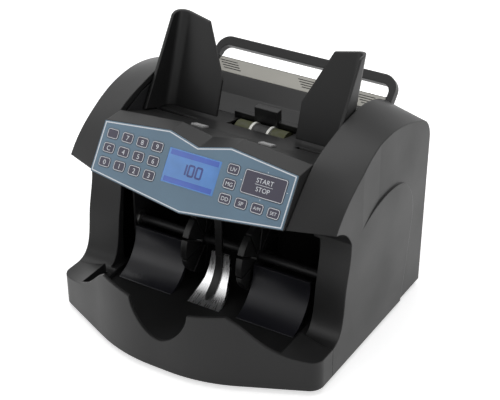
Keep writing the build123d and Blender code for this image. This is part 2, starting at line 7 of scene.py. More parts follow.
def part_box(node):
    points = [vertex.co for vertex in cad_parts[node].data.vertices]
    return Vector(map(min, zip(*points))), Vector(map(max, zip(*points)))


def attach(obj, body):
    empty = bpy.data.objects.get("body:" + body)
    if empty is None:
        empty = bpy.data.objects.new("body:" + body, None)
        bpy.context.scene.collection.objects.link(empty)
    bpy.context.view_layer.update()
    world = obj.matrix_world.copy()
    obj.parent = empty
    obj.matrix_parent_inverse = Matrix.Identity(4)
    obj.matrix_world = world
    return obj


bl_info = {
    "name": "Banknote Counting Machine",
    "version": (1, 0, 0),
    "blender": (4, 5, 0),
    "location": "View3D > Sidebar > Note Counter",
    "description": "Finishes and small details for a desktop banknote counting machine",
    "category": "Object",
}

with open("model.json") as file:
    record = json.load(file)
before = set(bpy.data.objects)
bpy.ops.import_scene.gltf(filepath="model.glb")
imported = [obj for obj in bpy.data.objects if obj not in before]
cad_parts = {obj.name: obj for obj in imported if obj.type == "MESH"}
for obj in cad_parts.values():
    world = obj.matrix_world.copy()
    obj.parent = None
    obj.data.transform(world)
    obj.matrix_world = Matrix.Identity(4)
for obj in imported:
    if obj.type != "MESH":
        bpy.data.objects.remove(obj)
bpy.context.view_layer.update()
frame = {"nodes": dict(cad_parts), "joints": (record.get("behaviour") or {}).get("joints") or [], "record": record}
NODES = frame["nodes"]
BODIES = frame["record"]["behaviour"]["bodies"]
BODY_OF = {node: body for body, members in BODIES.items() for node in members}
SLOT_OF = {row["node"]: row["material_slot"] for row in frame["record"]["subparts"]}
PRESS = next(joint for joint in frame["joints"] if joint["name"] == "start_stop_key_press")

MM = 0.001
RIGHT = Vector((1, 0, 0))
PANEL_NORMAL = -Vector(PRESS["axis"]).normalized()
PANEL_UP = PANEL_NORMAL.cross(RIGHT)

# The floor, the lamps (name, place, size, watts) and the camera's aim, in metres
FLOOR_SIZE = 8.0
FLOOR_DEPTH = 0.01
FLOOR_DROP = 0.0001
FLOOR_GLOW = 0.62
WORLD_STRENGTH = 0.28
LAMPS = (
    ("overhead", (-0.15, 0.15, 1.5), 1.3, 12.5),
    ("front_left", (-1.3, -1.2, 0.9), 0.9, 5.0),
    ("right", (1.6, -0.3, 0.7), 0.9, 4.2),
)
LAMP_TARGET = Vector((0, 0, 0.12))
CAMERA_AIM = Vector((0, 0.004, 0.1157))
CAMERA_SHIFT_RIGHT = 0.00905
CAMERA_SHIFT_DOWN = 0.00897

# How near a point lies to a face, and to a line, to count as on it
ON_FACE = 0.01 * MM
ON_LINE = 0.1 * MM

# Printing
INK_LIFT = 0.02 * MM
INK_THICKNESS = 0.05 * MM
OUTLINE_THICKNESS = 0.06 * MM
OUTLINE_CORNER = 1.7 * MM
LETTER_DEPTH = 0.02 * MM
CAPITAL_SHARE = 0.72        # a capital's height as a share of the font's size
LABEL_SCALES = {1: 1.0, 2: 0.8, 3: 0.66}    # by the label's number of letters
START_WORD_HEIGHT = 4.0 * MM
START_WORD_UP = 3.6 * MM
DIVIDER = (17 * MM, 0.35 * MM)
TICK_GAP = 1.6 * MM
TICK_LENGTH = 1.2 * MM
TICK_WIDTH = 0.5 * MM
TICK_THICKNESS = 0.08 * MM

# Display, as shares of a digit's height or of the window's
DIGIT_WIDTH = 0.56
DIGIT_STROKE = 0.19
DIGIT_PITCH = 0.85
BAND_SHARE = 0.15
BAND_MARGIN = 1 * MM
SEGMENTS = {"0": "abcdef", "1": "bc"}

# Rear strip and screws
STRIP_RISE = 9 * MM
SLOT_WIDTH = 0.9 * MM
SLOT_THICKNESS = 0.16 * MM
SLOT_END_MARGIN = 5 * MM
SLOT_MIDDLE_X = 12 * MM
EDGE_SIZE = (0.9 * MM, 0.5 * MM)
EDGE_MARGIN = 1 * MM
EDGE_SHIFT = (-0.3 * MM, 0.2 * MM)
CROSS_SIZE = (3.4 * MM, 0.1 * MM, 0.7 * MM)
CROSS_TURN = 20             # degrees

KEY_LABELS = {
    "number_key_12": "7", "number_key_13": "8", "number_key_14": "9",
    "number_key_21": "C", "number_key_22": "4", "number_key_23": "5", "number_key_24": "6",
    "number_key_31": "0", "number_key_32": "1", "number_key_33": "2", "number_key_34": "3",
    "function_key_1": "UV", "function_key_2": "MG", "function_key_3": "DD",
    "function_key_4": "SP", "function_key_5": "A/M", "function_key_6": "SET",
}


class NoteCounterSettings(bpy.types.PropertyGroup):
    """Sizes and colours a user would change"""

    shell_colour: bpy.props.FloatVectorProperty(
        name="Shell colour", description="Moulded black plastic of the covers",
        default=(0.012, 0.012, 0.0122), subtype="COLOR")
    panel_colour: bpy.props.FloatVectorProperty(
        name="Panel colour", description="Blue-grey film of the control panel",
        default=(0.145, 0.225, 0.30), subtype="COLOR")
    key_colour: bpy.props.FloatVectorProperty(
        name="Key colour", description="Dark violet-grey keys",
        default=(0.075, 0.07, 0.10), subtype="COLOR")
    print_colour: bpy.props.FloatVectorProperty(
        name="Print colour", description="Pale ink of the outlines and labels",
        default=(0.78, 0.81, 0.85), subtype="COLOR")
    screen_colour: bpy.props.FloatVectorProperty(
        name="Screen colour", description="Lit blue of the display",
        default=(0.055, 0.185, 0.47), subtype="COLOR")
    screen_glow: bpy.props.FloatProperty(
        name="Screen glow", description="Strength of the display's own light", default=0.22, min=0)
    label_height: bpy.props.FloatProperty(
        name="Label height", description="Height of the digits on the keys",
        default=4.3 * MM, unit="LENGTH")
    key_line: bpy.props.FloatProperty(
        name="Key outline", description="Width of the outline round each key",
        default=0.55 * MM, unit="LENGTH")
    border_inset: bpy.props.FloatProperty(
        name="Border inset", description="From the panel's edge to its border line",
        default=0.9 * MM, unit="LENGTH")
    border_line: bpy.props.FloatProperty(
        name="Border line", description="Width of the panel's border line",
        default=1.0 * MM, unit="LENGTH")
    digit_height: bpy.props.FloatProperty(
        name="Display digits", description="Height of the counted number",
        default=9.0 * MM, unit="LENGTH")
    slot_count: bpy.props.IntProperty(
        name="Strip slots", description="Slots in each group on the rear strip", default=4, min=1)
    slot_pitch: bpy.props.FloatProperty(
        name="Slot pitch", description="Distance between the strip's slots",
        default=2.6 * MM, unit="LENGTH")
    slot_length: bpy.props.FloatProperty(
        name="Slot length", description="Length of each of the strip's slots",
        default=19.0 * MM, unit="LENGTH")
    grain: bpy.props.FloatProperty(
        name="Grain", description="Number of texture grains per metre on the shell",
        default=1500.0, min=1)
    camera_azimuth: bpy.props.FloatProperty(
        name="Camera azimuth", description="Turn of the camera to the right of the front",
        default=math.radians(31.71), subtype="ANGLE")
    camera_elevation: bpy.props.FloatProperty(
        name="Camera elevation", description="Rise of the camera above the horizon",
        default=math.radians(30.97), subtype="ANGLE")
    camera_roll: bpy.props.FloatProperty(
        name="Camera roll", description="Turn of the picture",
        default=math.radians(-0.615), subtype="ANGLE")
    camera_distance: bpy.props.FloatProperty(
        name="Camera distance", description="From the machine's middle", default=1.2466, unit="LENGTH")
    camera_lens: bpy.props.FloatProperty(
        name="Lens", description="Focal length in millimetres", default=99.68, min=1)


def settings():
    return bpy.context.scene.note_counter


# Placing

def reach(node, direction):
    """How far a node goes along a direction."""
    return max(vertex.co.dot(direction) for vertex in NODES[node].data.vertices)


def centre_of(node):
    low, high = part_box(node)
    return (low + high) / 2


def panel_place(x, up, level):
    """The matrix that lays a flat mesh on the panel, at a level along its normal."""
    place = Matrix((RIGHT, PANEL_UP, PANEL_NORMAL)).transposed().to_4x4()
    place.translation = RIGHT * x + PANEL_UP * up + PANEL_NORMAL * level
    return place


def node_place(node, lift=INK_LIFT):
    """On a panel node's front face, at its middle."""
    middle = centre_of(node)
    return panel_place(middle.x, middle.dot(PANEL_UP), reach(node, PANEL_NORMAL) + lift)


# Meshes

def add_piece(name, mesh, body, material=None):
    piece = bpy.data.objects.new(name, mesh)
    bpy.context.scene.collection.objects.link(piece)
    if material:
        mesh.materials.clear()
        mesh.materials.append(material)
    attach(piece, body)
    return piece


def joined(name, meshes):
    """One mesh from several, with their materials kept."""
    parts = []
    for index, mesh in enumerate(meshes):
        part = bpy.data.objects.new(f"{name}_{index}", mesh)
        bpy.context.scene.collection.objects.link(part)
        parts.append(part)
    if len(parts) > 1:
        with bpy.context.temp_override(active_object=parts[0], selected_editable_objects=parts):
            bpy.ops.object.join()
    mesh = parts[0].data
    bpy.data.objects.remove(parts[0])
    mesh.name = name
    return mesh


def slab(name, outer, inner=None, thickness=INK_THICKNESS, material=None):
    """A thin closed plate from one outline, or a frame between two of the same count."""
    count = len(outer)
    loops = [(outer, 0), (outer, thickness)]
    if inner:
        loops += [(inner, thickness), (inner, 0)]
    vertices = [(x, y, z) for points, z in loops for x, y in points]
    faces = []
    rings = len(loops) if inner else 1
    for ring in range(rings):
        start, after = ring * count, ((ring + 1) % len(loops)) * count
        for i in range(count):
            j = (i + 1) % count
            faces.append((start + i, start + j, after + j, after + i))
    if not inner:
        faces.append(tuple(range(count, 2 * count)))
        faces.append(tuple(reversed(range(count))))
    mesh = bpy.data.meshes.new(name)
    mesh.from_pydata(vertices, [], faces)
    if material:
        mesh.materials.append(material)
    return mesh


def rectangle(x, y, width, height):
    """A rectangle's corners, anticlockwise, about a middle."""
    w, h = width / 2, height / 2
    return [(x - w, y - h), (x + w, y - h), (x + w, y + h), (x - w, y + h)]


def inset(corners, distance):
    """An anticlockwise outline drawn in by a distance, its corners mitred."""
    drawn = []
    for index, corner in enumerate(corners):
        before = (Vector(corner) - Vector(corners[index - 1])).normalized()
        after = (Vector(corners[(index + 1) % len(corners)]) - Vector(corner)).normalized()
        normals = Vector((-before.y, before.x)), Vector((-after.y, after.x))
        middle = (normals[0] + normals[1]).normalized()
        drawn.append(tuple(Vector(corner) + middle * (distance / middle.dot(normals[0]))))
    return drawn


def text_mesh(words, height, material, x=0.0, y=0.0):
    """Flat lettering about a point, with a little thickness."""
    curve = bpy.data.curves.new(words, "FONT")
    curve.body = words
    curve.size = height / CAPITAL_SHARE
    curve.align_x = "CENTER"
    curve.extrude = LETTER_DEPTH
    carrier = bpy.data.objects.new(words, curve)
    bpy.context.scene.collection.objects.link(carrier)
    evaluated = carrier.evaluated_get(bpy.context.evaluated_depsgraph_get())
    mesh = bpy.data.meshes.new_from_object(evaluated)
    bpy.data.objects.remove(carrier)
    mesh.transform(Matrix.Translation((x, y - height / 2, LETTER_DEPTH)))
    mesh.materials.clear()
    mesh.materials.append(material)
    return mesh


# Node trees for what repeats

def new_tree(name, inputs):
    tree = bpy.data.node_groups.new(name, "GeometryNodeTree")
    tree.interface.new_socket("Geometry", in_out="INPUT", socket_type="NodeSocketGeometry")
    tree.interface.new_socket("Geometry", in_out="OUTPUT", socket_type="NodeSocketGeometry")
    for label, kind in inputs:
        tree.interface.new_socket(label, in_out="INPUT", socket_type="NodeSocket" + kind)
    return tree, tree.nodes.new("NodeGroupInput"), tree.nodes.new("NodeGroupOutput")


def end_tree(tree, entry, exit_node, geometry):
    """Realizes the instances, sets the material and joins the output."""
    realize = tree.nodes.new("GeometryNodeRealizeInstances")
    finish = tree.nodes.new("GeometryNodeSetMaterial")
    tree.links.new(geometry, realize.inputs[0])
    tree.links.new(realize.outputs[0], finish.inputs["Geometry"])
    tree.links.new(entry.outputs["Material"], finish.inputs["Material"])
    tree.links.new(finish.outputs[0], exit_node.inputs[0])


def bars_tree():
    """A bar at each point of a mesh, turned about Z."""
    tree, entry, exit_node = new_tree("bars_on_points", [
        ("Size", "Vector"), ("Turn", "Vector"), ("Material", "Material")])
    bar = tree.nodes.new("GeometryNodeMeshCube")
    place = tree.nodes.new("GeometryNodeInstanceOnPoints")
    tree.links.new(entry.outputs["Geometry"], place.inputs["Points"])
    tree.links.new(entry.outputs["Size"], bar.inputs["Size"])
    tree.links.new(bar.outputs["Mesh"], place.inputs["Instance"])
    turn = tree.nodes.new("FunctionNodeEulerToRotation")
    tree.links.new(entry.outputs["Turn"], turn.inputs[0])
    tree.links.new(turn.outputs[0], place.inputs["Rotation"])
    end_tree(tree, entry, exit_node, place.outputs[0])
    return tree


def outline_tree():
    """A rounded rectangular line, as on the keys."""
    tree, entry, exit_node = new_tree("key_outline", [
        ("Width", "Float"), ("Height", "Float"), ("Corner", "Float"), ("Line", "Float"),
        ("Thickness", "Float"), ("Material", "Material")])
    path = tree.nodes.new("GeometryNodeCurvePrimitiveQuadrilateral")
    corner = tree.nodes.new("GeometryNodeFilletCurve")
    corner.mode = "POLY"
    corner.inputs["Count"].default_value = 6
    profile = tree.nodes.new("GeometryNodeCurvePrimitiveQuadrilateral")
    sweep = tree.nodes.new("GeometryNodeCurveToMesh")
    for source, target in (
        (entry.outputs["Width"], path.inputs["Width"]),
        (entry.outputs["Height"], path.inputs["Height"]),
        (path.outputs[0], corner.inputs["Curve"]),
        (entry.outputs["Corner"], corner.inputs["Radius"]),
        (entry.outputs["Line"], profile.inputs["Width"]),
        (entry.outputs["Thickness"], profile.inputs["Height"]),
        (corner.outputs[0], sweep.inputs["Curve"]),
        (profile.outputs[0], sweep.inputs["Profile Curve"]),
    ):
        tree.links.new(source, target)
    end_tree(tree, entry, exit_node, sweep.outputs[0])
    return tree


def grown(tree, values, points=((0, 0, 0),)):
    """The plain mesh that a tree makes from some points."""
    seed = bpy.data.meshes.new("seed")
    seed.from_pydata(points, [], [])
    carrier = bpy.data.objects.new("seed", seed)
    bpy.context.scene.collection.objects.link(carrier)
    modifier = carrier.modifiers.new("tree", "NODES")
    modifier.node_group = tree
    sockets = {item.name: item.identifier for item in tree.interface.items_tree if item.in_out == "INPUT"}
    for label, value in values.items():
        modifier[sockets[label]] = value
    evaluated = carrier.evaluated_get(bpy.context.evaluated_depsgraph_get())
    mesh = bpy.data.meshes.new_from_object(evaluated)
    carrier.modifiers.clear()
    bpy.data.objects.remove(carrier)
    return mesh


# Finishes

class Shader:
    """A small helper that adds and links a material's nodes."""

    def __init__(self, name):
        self.material = bpy.data.materials.new(name)
        self.material.use_nodes = True
        self.nodes = self.material.node_tree.nodes
        self.links = self.material.node_tree.links
        self.surface = self.nodes["Principled BSDF"]
        self.coordinates = self.nodes.new("ShaderNodeTexCoord").outputs["Object"]

    def noise(self, scale, detail=3.0, stretch=None):
        texture = self.nodes.new("ShaderNodeTexNoise")
        texture.inputs["Scale"].default_value = scale
        texture.inputs["Detail"].default_value = detail
        source = self.coordinates
        if stretch:
            mapping = self.nodes.new("ShaderNodeMapping")
            mapping.inputs["Scale"].default_value = stretch
            self.links.new(source, mapping.inputs["Vector"])
            source = mapping.outputs["Vector"]
        self.links.new(source, texture.inputs["Vector"])
        return texture.outputs["Fac"]

    def spread(self, value, low, high, start=0.3, end=0.7):
        mapped = self.nodes.new("ShaderNodeMapRange")
        for label, number in (("From Min", start), ("From Max", end), ("To Min", low), ("To Max", high)):
            mapped.inputs[label].default_value = number
        self.links.new(value, mapped.inputs["Value"])
        return mapped.outputs["Result"]

    def blend(self, factor, first, second):
        mix = self.nodes.new("ShaderNodeMix")
        mix.data_type = "RGBA"
        self.links.new(factor, mix.inputs["Factor"])
        for socket, colour in ((mix.inputs["A"], first), (mix.inputs["B"], second)):
            if isinstance(colour, bpy.types.NodeSocket):
                self.links.new(colour, socket)
            else:
                socket.default_value = (*colour, 1)
        return mix.outputs["Result"]

    def times(self, first, second):
        product = self.nodes.new("ShaderNodeMath")
        product.operation = "MULTIPLY"
        self.links.new(first, product.inputs[0])
        self.links.new(second, product.inputs[1])
        return product.outputs[0]

    def drive(self, label, value):
        """Links a value to one of the surface's own sockets."""
        self.links.new(value, self.surface.inputs[label])

    def rounded(self, radius):
        """The surface's normal with its edges rounded, and a mask of those edges."""
        bevel = self.nodes.new("ShaderNodeBevel")
        bevel.samples = 4
        bevel.inputs["Radius"].default_value = radius
        geometry = self.nodes.new("ShaderNodeNewGeometry")
        dot = self.nodes.new("ShaderNodeVectorMath")
        dot.operation = "DOT_PRODUCT"
        self.links.new(bevel.outputs[0], dot.inputs[0])
        self.links.new(geometry.outputs["Normal"], dot.inputs[1])
        return bevel.outputs[0], self.spread(dot.outputs["Value"], 1.0, 0.0, 0.80, 0.99)

    def bump(self, height, strength, distance, normal=None):
        bump = self.nodes.new("ShaderNodeBump")
        bump.inputs["Strength"].default_value = strength
        bump.inputs["Distance"].default_value = distance
        self.links.new(height, bump.inputs["Height"])
        if normal:
            self.links.new(normal, bump.inputs["Normal"])
        self.drive("Normal", bump.outputs[0])


def scaled(colour, factor):
    return tuple(channel * factor for channel in colour)


def moulded(name, colour, roughness=0.42, grain=1500.0, bump=0.22, edge_rub_and_highlight=0.35, edge=0.7 * MM,
            gloss=0.28):
    """Moulded plastic: a fine grain, a slightly uneven gloss, and edges painted paler, partly as rubbing and
    partly as a painted highlight.
    """
    shader = Shader(name)
    shader.surface.inputs["Specular IOR Level"].default_value = gloss
    broad = shader.noise(16.0, 4.0)
    normal, edges = shader.rounded(edge)
    body = shader.blend(shader.spread(broad, 0.0, 1.0), scaled(colour, 0.9), scaled(colour, 1.12))
    # Paler edges with a noisy strength: partly real rubbing, partly a painted highlight along every edge
    rubbed_and_highlit = shader.times(edges, shader.spread(shader.noise(90.0), 0.1, edge_rub_and_highlight, 0.35, 0.75))
    worn_and_highlight_colour = tuple(min(1.0, channel * 2.0 + 0.03) for channel in colour)
    shader.drive("Base Color", shader.blend(rubbed_and_highlit, body, worn_and_highlight_colour))
    shader.drive("Roughness", shader.spread(broad, roughness - 0.05, roughness + 0.06))
    shader.bump(shader.noise(grain, 2.0), bump, 0.05 * MM, normal)
    return shader.material


def metal(name, colour, roughness, stretch, bump=0.1):
    """Drawn or turned metal with fine lines along its length."""
    shader = Shader(name)
    lines = shader.noise(120.0, 5.0, stretch)
    shader.drive("Base Color", shader.blend(lines, scaled(colour, 0.82), colour))
    shader.surface.inputs["Metallic"].default_value = 1.0
    shader.drive("Roughness", shader.spread(lines, roughness * 0.8, roughness * 1.3))
    shader.bump(lines, bump, 0.02 * MM)
    return shader.material


def rubber(name, colour):
    """Soft rubber with a dusty, mottled bloom."""
    shader = Shader(name)
    bloom = shader.noise(220.0, 6.0)
    shader.drive("Base Color", shader.blend(shader.spread(bloom, 0.0, 1.0), colour, scaled(colour, 1.9)))
    shader.drive("Roughness", shader.spread(bloom, 0.62, 0.85))
    shader.bump(bloom, 0.35, 0.06 * MM)
    return shader.material


def printed(name, colour, roughness=0.5):
    """Screen ink: almost even, with a faint weave from the mesh."""
    shader = Shader(name)
    weave = shader.noise(2500.0, 1.0)
    shader.drive("Base Color", shader.blend(weave, scaled(colour, 0.93), colour))
    shader.drive("Roughness", shader.spread(weave, roughness - 0.04, roughness + 0.04))
    return shader.material


def circuit_board():
    """Green solder mask with the copper's tracks just showing."""
    shader = Shader("circuit_board")
    tracks = shader.nodes.new("ShaderNodeTexBrick")
    tracks.inputs["Scale"].default_value = 160.0
    tracks.inputs["Mortar Size"].default_value = 0.03
    tracks.inputs["Color1"].default_value = (0.01, 0.09, 0.035, 1)
    tracks.inputs["Color2"].default_value = (0.015, 0.12, 0.045, 1)
    tracks.inputs["Mortar"].default_value = (0.03, 0.2, 0.07, 1)
    shader.links.new(shader.coordinates, tracks.inputs["Vector"])
    shader.drive("Base Color", tracks.outputs["Color"])
    shader.bump(tracks.outputs["Fac"], 0.3, 0.05 * MM)
    return shader.material


def screen(name, colour, glow):
    """A lit display behind a smooth window, its light a little uneven in small patches."""
    shader = Shader(name)
    cells = shader.noise(60.0, 2.0)
    lit = shader.blend(shader.spread(cells, 0.0, 1.0), scaled(colour, 0.88), scaled(colour, 1.15))
    shader.drive("Base Color", lit)
    shader.drive("Emission Color", lit)
    shader.surface.inputs["Emission Strength"].default_value = glow
    shader.surface.inputs["Roughness"].default_value = 0.16
    shader.bump(cells, 0.04, 0.02 * MM)
    return shader.material


FINISHES = {
    "black_steel": lambda s: moulded("black_steel", (0.013, 0.013, 0.014), 0.5, 900.0, 0.1),
    "steel": lambda s: metal("steel", (0.5, 0.5, 0.49), 0.3, (1, 12, 12)),
    "bright_metal": lambda s: metal("bright_metal", (0.82, 0.82, 0.83), 0.28, (10, 1, 1), 0.05),
    "receiving_plastic": lambda s: moulded(
        "receiving_plastic", (0.012, 0.012, 0.016), 0.3, 2200.0, 0.06, 0.2),
    "rubber": lambda s: rubber("rubber", (0.012, 0.012, 0.012)),
    "olive_rubber": lambda s: rubber("olive_rubber", (0.026, 0.028, 0.009)),
    "white_plastic": lambda s: moulded("white_plastic", (0.72, 0.72, 0.68), 0.4, 1800.0, 0.1, 0.2),
    "grey_plastic": lambda s: moulded("grey_plastic", (0.34, 0.34, 0.34), 0.45, 1800.0, 0.12, 0.2),
    "silver_trim": lambda s: moulded("silver_trim", (0.36, 0.35, 0.315), 0.34, 2200.0, 0.08, 0.3),
    "panel_print": lambda s: moulded("panel_film", s.panel_colour, 0.36, 3200.0, 0.06, 0.1, 0.3 * MM),
    "key_plastic": lambda s: moulded("key_film", s.key_colour, 0.38, 3200.0, 0.06, 0.15, 0.3 * MM),
    "screen": lambda s: screen("screen", s.screen_colour, s.screen_glow),
    "circuit_board": lambda s: circuit_board(),
    "painted_case": lambda s: moulded("painted_case", (0.11, 0.11, 0.115), 0.4, 700.0, 0.1),
    "black_plastic": lambda s: moulded(
        "shell_plastic", s.shell_colour, 0.38, s.grain, 0.2, 0.3, 1.6 * MM),
    "print_ink": lambda s: printed("print_ink", s.print_colour),
    "screen_ink": lambda s: screen("screen_ink", (0.01, 0.025, 0.16), 0.25),
    "screen_band": lambda s: screen("screen_band", (0.02, 0.07, 0.34), 0.35),
    # Painted shade: a near-black finish for thin sheets laid where slots and screw recesses would be shaded
    "painted_recess_shade": lambda s: moulded("painted_recess_shade", (0.006, 0.006, 0.006), 0.6, 900.0, 0.1, 0.0),
}
NODE_FINISHES = {"stacker_plates": "receiving_plastic"}
made = {}


def finish(name):
    """A finish by its name, made the first time it is asked for."""
    if name not in made:
        made[name] = FINISHES[name](settings())
    return made[name]


# Operators

class NOTECOUNTER_OT_finishes(bpy.types.Operator):
    """Gives every carried-over node its finish"""
    bl_idname = "note_counter.finishes"
    bl_label = "Finish the frame's nodes"

    def execute(self, context):
        for node, piece in NODES.items():
            piece.data.materials.clear()
            piece.data.materials.append(finish(NODE_FINISHES.get(node, SLOT_OF[node])))
        return {"FINISHED"}


class NOTECOUNTER_OT_keys(bpy.types.Operator):
    """Prints the outline and label on every key"""
    bl_idname = "note_counter.keys"
    bl_label = "Print the keys"

    def execute(self, context):
        s = settings()
        ink = finish("print_ink")
        tree = outline_tree()
        keys = [node for node in NODES if SLOT_OF[node] == "key_plastic"]
        for node in keys:
            low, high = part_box(node)
            width = high.x - low.x
            height = reach(node, PANEL_UP) + reach(node, -PANEL_UP)
            meshes = [grown(tree, {
                "Width": width - 2 * s.key_line, "Height": height - 2 * s.key_line,
                "Corner": OUTLINE_CORNER, "Line": s.key_line, "Thickness": OUTLINE_THICKNESS,
                "Material": ink})]
            if node in KEY_LABELS:
                label = KEY_LABELS[node]
                meshes.append(text_mesh(label, s.label_height * LABEL_SCALES[len(label)], ink))
            if node == "start_stop_key":
                meshes.append(text_mesh("START", START_WORD_HEIGHT, ink, 0, START_WORD_UP))
                meshes.append(text_mesh("STOP", START_WORD_HEIGHT, ink, 0, -START_WORD_UP))
                meshes.append(slab("divider", rectangle(0, 0, *DIVIDER), material=ink))
            mesh = joined(f"print_{node}", meshes)
            mesh.transform(node_place(node))
            add_piece(f"print_{node}", mesh, BODY_OF[node])
        return {"FINISHED"}


def panel_corners():
    """The panel film's outline in its own plane, anticlockwise from the lower left."""
    level = reach("panel_overlay", PANEL_NORMAL)
    front = [vertex.co for vertex in NODES["panel_overlay"].data.vertices
             if vertex.co.dot(PANEL_NORMAL) > level - ON_FACE]
    points = [(point.x, point.dot(PANEL_UP)) for point in front]
    side = max(x for x, _ in points)
    edge = [up for x, up in points if x > side - ON_LINE]
    middle = [up for x, up in points if abs(x) < ON_LINE]
    peak = max(points, key=lambda point: point[1])
    right_half = [(side, min(edge)), (side, max(edge)), (abs(peak[0]), peak[1])]
    left_half = [(-x, up) for x, up in reversed(right_half)]
    return [(0, min(middle)), *right_half, (0, max(middle)), *left_half], level


class NOTECOUNTER_OT_panel(bpy.types.Operator):
    """Prints the panel's border line and the ticks round the start key"""
    bl_idname = "note_counter.panel"
    bl_label = "Print the panel"

    def execute(self, context):
        s = settings()
        ink = finish("print_ink")
        corners, level = panel_corners()
        outer = inset(corners, s.border_inset)
        inner = inset(corners, s.border_inset + s.border_line)
        meshes = [slab("border", outer, inner, material=ink)]
        key = centre_of("start_stop_key")
        low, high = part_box("start_stop_key")
        top, bottom = reach("start_stop_key", PANEL_UP), -reach("start_stop_key", -PANEL_UP)
        half_width = (high.x - low.x) / 2 + TICK_GAP
        half_height = (top - bottom) / 2 + TICK_GAP
        key_up = (top + bottom) / 2
        tree = bars_tree()
        for offsets, size in (
            (((-half_width, 0), (half_width, 0)), (TICK_LENGTH, TICK_WIDTH, TICK_THICKNESS)),
            (((0, -half_height), (0, half_height)), (TICK_WIDTH, TICK_LENGTH, TICK_THICKNESS)),
        ):
            points = [(key.x + x, key_up + up, 0) for x, up in offsets]
            meshes.append(grown(tree, {"Size": size, "Turn": (0, 0, 0), "Material": ink}, points))
        mesh = joined("panel_print", meshes)
        mesh.transform(panel_place(0, 0, level + INK_LIFT))
        add_piece("panel_print", mesh, "machine")
        return {"FINISHED"}


def digit_bars(character, x, height):
    """The lit bars of a seven-bar digit, as (x, y, width, height)."""
    width, stroke = height * DIGIT_WIDTH, height * DIGIT_STROKE
    left, right = x - width / 2, x + width / 2
    bars = {
        "a": (x, height / 2, width, stroke),
        "b": (right, height / 4, stroke, height / 2),
        "c": (right, -height / 4, stroke, height / 2),
        "d": (x, -height / 2, width, stroke),
        "e": (left, -height / 4, stroke, height / 2),
        "f": (left, height / 4, stroke, height / 2),
    }
    return [bars[name] for name in SEGMENTS[character]]


class NOTECOUNTER_OT_display(bpy.types.Operator):
    """Draws the counted number and the two bands of the display"""
    bl_idname = "note_counter.display"
    bl_label = "Draw the display"

    def execute(self, context):
        s = settings()
        low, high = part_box("lcd_window")
        width = high.x - low.x
        height = reach("lcd_window", PANEL_UP) + reach("lcd_window", -PANEL_UP)
        band = height * BAND_SHARE
        band_up = height / 2 - band / 2 - BAND_MARGIN
        band_width = width - 4 * BAND_MARGIN
        meshes = [
            slab("band", rectangle(0, side * band_up, band_width, band), material=finish("screen_band"))
            for side in (-1, 1)
        ]
        for index, character in enumerate("100"):
            for bar in digit_bars(character, (index - 1) * s.digit_height * DIGIT_PITCH, s.digit_height):
                meshes.append(slab("bar", rectangle(*bar), material=finish("screen_ink")))
        mesh = joined("display_picture", meshes)
        mesh.transform(node_place("lcd_window"))
        add_piece("display_picture", mesh, "machine")
        return {"FINISHED"}


class NOTECOUNTER_OT_strip(bpy.types.Operator):
    """Adds the slots, as thin near-black sheets of painted shade, and the bright edge of the strip behind the
    hopper
    """
    bl_idname = "note_counter.strip"
    bl_label = "Detail the rear strip"

    def execute(self, context):
        s = settings()
        low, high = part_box("rear_top_strip")
        points = [vertex.co for vertex in NODES["rear_top_strip"].data.vertices]
        crown = max(points, key=lambda point: point.z)
        upper = [point for point in points if point.z > crown.z - STRIP_RISE]
        front = min(upper, key=lambda point: point.y)
        rise = math.atan2(crown.z - front.z, crown.y - front.y)
        middle = (crown + front) / 2
        tree = bars_tree()
        meshes = []
        end_group = high.x - s.slot_length / 2 - SLOT_END_MARGIN
        for start in (-end_group, SLOT_MIDDLE_X, end_group):
            rows = [index - (s.slot_count - 1) / 2 for index in range(s.slot_count)]
            points = [(start - s.slot_pitch * row, s.slot_pitch * row, 0) for row in rows]
            # Each slot is a thin sheet of painted shade on the strip's face, not a real opening
            meshes.append(grown(tree, {
                "Size": (s.slot_length, SLOT_WIDTH, SLOT_THICKNESS), "Turn": (0, 0, 0),
                "Material": finish("painted_recess_shade")}, points))
        mesh = joined("strip_slots", meshes)
        place = Matrix.Translation((0, middle.y, middle.z)) @ Matrix.Rotation(rise, 4, "X")
        mesh.transform(place)
        add_piece("strip_slots", mesh, "machine")
        edge = grown(tree, {
            "Size": (high.x - low.x - EDGE_MARGIN, *EDGE_SIZE), "Turn": (0, 0, 0),
            "Material": finish("bright_metal")})
        edge_place = Matrix.Translation((0, crown.y + EDGE_SHIFT[0], crown.z + EDGE_SHIFT[1]))
        edge.transform(edge_place @ Matrix.Rotation(rise, 4, "X"))
        add_piece("strip_edge", edge, "machine")
        return {"FINISHED"}


class NOTECOUNTER_OT_screws(bpy.types.Operator):
    """Adds a cross of painted shade to every screw head on the rear cover, where its recess would be"""
    bl_idname = "note_counter.screws"
    bl_label = "Detail the screws"

    def execute(self, context):
        vertices = [vertex.co for vertex in NODES["rear_screws"].data.vertices]
        back = max(point.y for point in vertices)
        middle = centre_of("rear_screws")
        heads = {}
        for point in vertices:
            if point.y > back - ON_FACE:
                heads.setdefault((point.x > middle.x, point.z > middle.z), []).append(point)
        centres = []
        for points in heads.values():
            xs, zs = [point.x for point in points], [point.z for point in points]
            centres.append(((min(xs) + max(xs)) / 2, back, (min(zs) + max(zs)) / 2))
        tree = bars_tree()
        # Painted shade stands in for the cross recess in each screw head
        cross_shade = finish("painted_recess_shade")
        meshes = [
            grown(tree, {"Size": CROSS_SIZE, "Turn": (0, math.radians(turn), 0), "Material": cross_shade}, centres)
            for turn in (CROSS_TURN, CROSS_TURN + 90)
        ]
        add_piece("screw_crosses", joined("screw_crosses", meshes), "machine")
        return {"FINISHED"}


